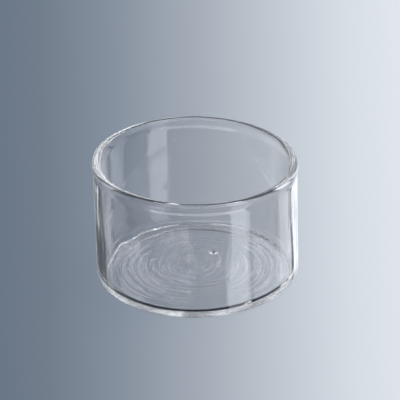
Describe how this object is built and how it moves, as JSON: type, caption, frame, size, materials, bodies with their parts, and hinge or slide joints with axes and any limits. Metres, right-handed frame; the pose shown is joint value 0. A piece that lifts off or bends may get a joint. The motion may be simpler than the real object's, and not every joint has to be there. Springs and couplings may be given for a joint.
{
  "type": "evaporating dish",
  "caption": "Small flat-bottomed cylindrical evaporating dish in clear glass, made in one piece, with a fire-polished beaded rim and no spout.",
  "frame": {"origin": "on the dish's own axis, in the plane that it stands on", "axes": "+Z along the dish's axis, up through the open mouth; X and Y are equivalent, because the dish is round"},
  "size_m": [0.0506, 0.0506, 0.0307],
  "materials": {
    "clear_glass": "clear, fire-polished borosilicate glass"
  },
  "bodies": {
    "root": {"glass_dish": "clear_glass"}
  },
  "joints": []
}
